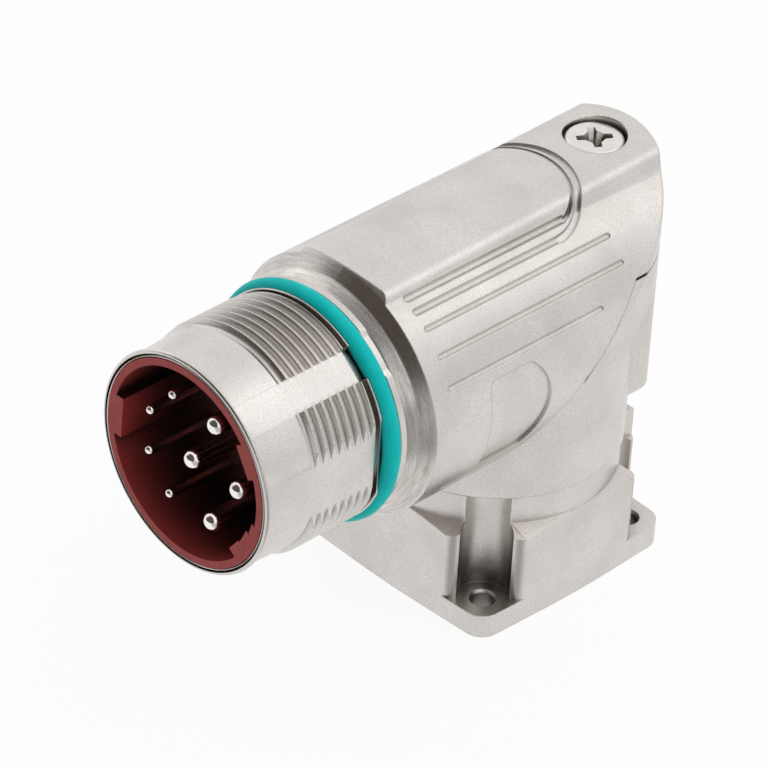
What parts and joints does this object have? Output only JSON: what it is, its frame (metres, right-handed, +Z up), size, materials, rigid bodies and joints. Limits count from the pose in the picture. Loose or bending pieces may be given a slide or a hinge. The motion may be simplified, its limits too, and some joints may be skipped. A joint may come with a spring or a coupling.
{
  "type": "angled circular power connector",
  "caption": "Right-angle circular power receptacle with pin insert, turning on a square mounting flange.",
  "frame": {"origin": "centre of the flange's underside, on the swivel axis", "axes": "+Z up out of the panel along the swivel axis; the socket opens towards -Y at rest; X runs across the socket"},
  "size_m": [0.0264, 0.0569, 0.0415],
  "materials": {
    "nickel_housing": "satin nickel plating on a fine cast grain",
    "nickel_sleeve": "turned and nickel plated",
    "teal_seal": "smooth moulded rubber",
    "black_seal": "smooth moulded rubber",
    "grey_seal": "soft silicone",
    "slide_plastic": "smooth moulded plastic",
    "red_insert": "fine moulded plastic",
    "black_carrier": "fine moulded plastic",
    "spring_bronze": "bright spring strip",
    "spring_steel": "oiled spring steel",
    "screw_steel": "bright nickel plated",
    "contact_plating": "bright silver plated brass"
  },
  "bodies": {
    "flange": {"mounting_flange": "nickel_housing", "flange_gasket": "black_seal", "slide_ring": "slide_plastic"},
    "elbow": {"elbow_housing": "nickel_housing", "upper_housing": "nickel_housing", "coupling_sleeve": "nickel_sleeve", "coupling_o_ring": "teal_seal", "neck_o_ring": "black_seal", "sleeve_o_ring": "black_seal", "housing_gasket": "black_seal", "insert_seal": "grey_seal", "insert_body": "red_insert", "insert_carrier": "black_carrier", "earth_spring": "spring_bronze", "neck_retaining_ring": "spring_steel", "insert_retaining_ring": "spring_steel", "cover_screw": "screw_steel", "screw_washer": "screw_steel", "power_pin_1": "contact_plating", "power_pin_2": "contact_plating", "power_pin_3": "contact_plating", "power_pin_4": "contact_plating", "signal_pin_1": "contact_plating", "signal_pin_2": "contact_plating", "signal_pin_3": "contact_plating", "signal_pin_4": "contact_plating"}
  },
  "joints": [
    {"name": "swivel", "type": "hinge", "parent": "flange", "child": "elbow", "pos_m": [0, 0, 0], "axis": [0, 0, 1], "range_deg": [-165, 165]}
  ]
}
